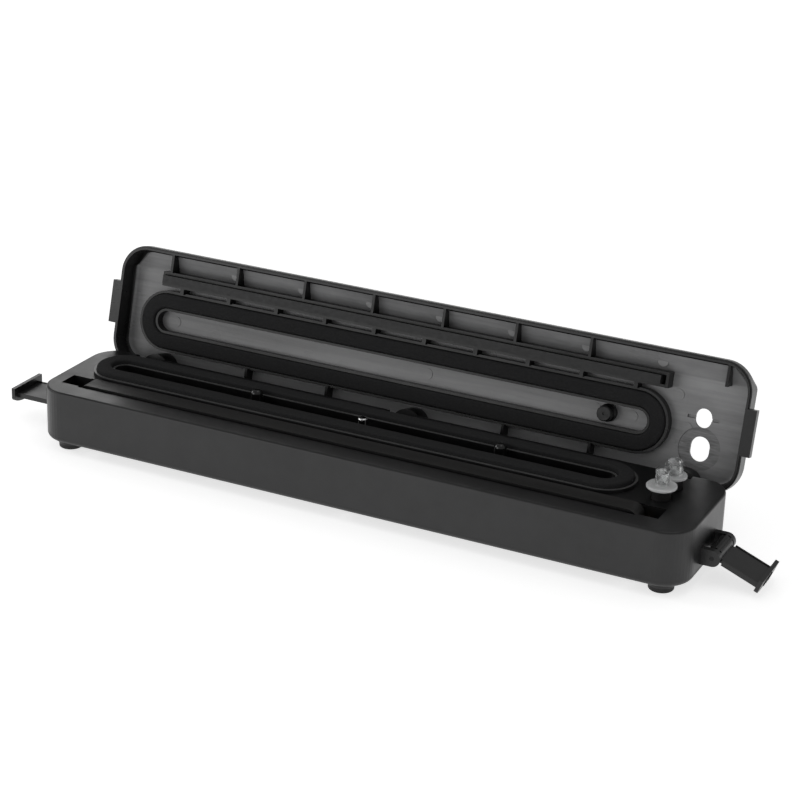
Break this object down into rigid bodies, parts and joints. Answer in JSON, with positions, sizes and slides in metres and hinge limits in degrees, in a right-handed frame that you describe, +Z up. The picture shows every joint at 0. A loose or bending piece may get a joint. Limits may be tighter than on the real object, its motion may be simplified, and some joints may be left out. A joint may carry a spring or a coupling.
{
  "type": "vacuum sealer",
  "caption": "Long low bag vacuum sealer with an open hinged lid, foam gaskets round a vacuum channel, a heat-sealing bar, push buttons and swing latches at the ends.",
  "frame": {"origin": "on the table, under the middle of the case", "axes": "+X along the case to its button end, +Y to the hinged back, +Z up"},
  "size_m": [0.4238, 0.0978, 0.0895],
  "materials": {
    "case_plastic": "fine spark-eroded grain",
    "lid_plastic": "satin moulded inside, finely textured outside",
    "cover_plastic": "fine grain",
    "latch_plastic": "satin",
    "button_plastic": "satin",
    "clear_acrylic": "clear polished acrylic",
    "foam": "fine closed-cell foam",
    "heater_plastic": "plain moulded",
    "heating_wire": "flat resistance strip",
    "nonstick_tape": "coated woven glass tape",
    "terminal_brass": "stamped",
    "nozzle_metal": "turned",
    "stop_plastic": "smooth moulded",
    "foot_rubber": "matt",
    "press_rubber": "smooth silicone",
    "bumper_rubber": "smooth moulded",
    "screw_steel": "zinc plated",
    "pin_steel": "ground",
    "black_pin": "blackened steel",
    "spring_steel": "drawn wire",
    "pump_plastic": "plain moulded",
    "motor_steel": "rolled can",
    "hose_rubber": "translucent silicone",
    "power_laminate": "paper laminate",
    "winding_wrap": "tape-wrapped winding",
    "capacitor_sleeve": "shrink sleeve",
    "sink_aluminium": "extruded",
    "control_laminate": "solder mask",
    "switch_plastic": "moulded",
    "led_resin": "diffused resin",
    "wire_sleeve": "silicone sleeve",
    "inlet_plastic": "moulded"
  },
  "bodies": {
    "base": {"case_top": "case_plastic", "case_bottom": "cover_plastic", "rubber_feet": "foot_rubber", "cover_screws": "screw_steel", "lower_gasket": "foam", "heater_bar": "heater_plastic", "heating_strip": "heating_wire", "sealing_tape": "nonstick_tape", "heater_terminals": "terminal_brass", "vacuum_nozzle": "nozzle_metal", "bag_stops": "stop_plastic", "pump_head": "pump_plastic", "pump_motor": "motor_steel", "pump_cradle": "cover_plastic", "vacuum_hose": "hose_rubber", "relief_valve": "pump_plastic", "valve_hose": "hose_rubber", "power_board": "power_laminate", "transformer": "winding_wrap", "capacitor": "capacitor_sleeve", "heat_sink": "sink_aluminium", "control_board": "control_laminate", "button_switches": "switch_plastic", "status_leds": "led_resin", "heater_leads": "wire_sleeve", "power_inlet": "inlet_plastic", "inlet_pins": "pin_steel", "hinge_pins": "pin_steel", "latch_pins": "black_pin"},
    "lid": {"lid_shell": "lid_plastic", "press_bar": "press_rubber", "upper_gasket": "foam", "lid_bumper": "bumper_rubber"},
    "latch_left": {"latch_left": "latch_plastic"},
    "latch_right": {"latch_right": "latch_plastic"},
    "button_front": {"button_stem_front": "button_plastic", "button_lens_front": "clear_acrylic", "button_spring_front": "spring_steel"},
    "button_rear": {"button_stem_rear": "button_plastic", "button_lens_rear": "clear_acrylic", "button_spring_rear": "spring_steel"}
  },
  "joints": [
    {"name": "lid_hinge", "type": "hinge", "parent": "base", "child": "lid", "pos_m": [0, 0.0316, 0.0296], "axis": [1, 0, 0], "range_deg": [0, 105]},
    {"name": "left_latch_hinge", "type": "hinge", "parent": "base", "child": "latch_left", "pos_m": [-0.1855, 0.0012, 0.0148], "axis": [0, 1, 0], "range_deg": [0, 90]},
    {"name": "right_latch_hinge", "type": "hinge", "parent": "base", "child": "latch_right", "pos_m": [0.1855, 0.0012, 0.0148], "axis": [0, -1, 0], "range_deg": [0, 111.5]},
    {"name": "front_button_press", "type": "slide", "parent": "base", "child": "button_front", "axis": [0, 0, -1], "range_m": [0, 0.002], "stiffness_N_per_m": 500, "springref_m": -0.002, "deforming": ["button_spring_front"]},
    {"name": "rear_button_press", "type": "slide", "parent": "base", "child": "button_rear", "axis": [0, 0, -1], "range_m": [0, 0.002], "stiffness_N_per_m": 500, "springref_m": -0.002, "deforming": ["button_spring_rear"]}
  ]
}
